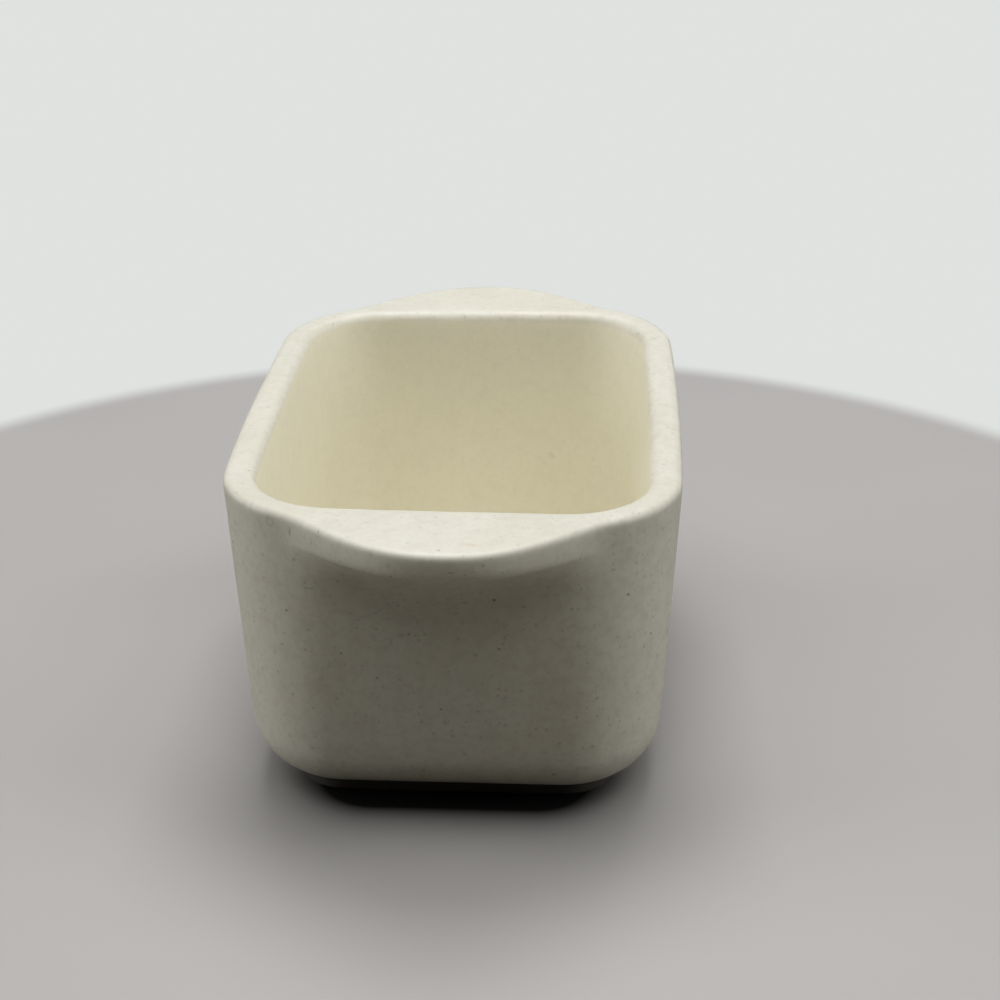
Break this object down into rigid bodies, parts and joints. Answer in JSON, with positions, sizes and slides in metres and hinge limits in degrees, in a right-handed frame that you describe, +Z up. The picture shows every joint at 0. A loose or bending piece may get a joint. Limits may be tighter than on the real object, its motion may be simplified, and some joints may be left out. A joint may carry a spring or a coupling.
{
  "type": "sugar packet holder",
  "caption": "Straight-sided ceramic tub with rounded corners, a finger lip at each end and a low foot ring, for standing sugar packets on a table.",
  "frame": {"origin": "middle of the tub's footprint, on the surface that the foot ring stands on", "axes": "+X across the tub, +Y along it from one lip to the other, +Z up"},
  "size_m": [0.0768, 0.1252, 0.0576],
  "materials": {
    "speckled_ceramic": "satin cream glaze with fine dark flecks"
  },
  "bodies": {
    "root": {"holder_body": "speckled_ceramic"}
  },
  "joints": []
}
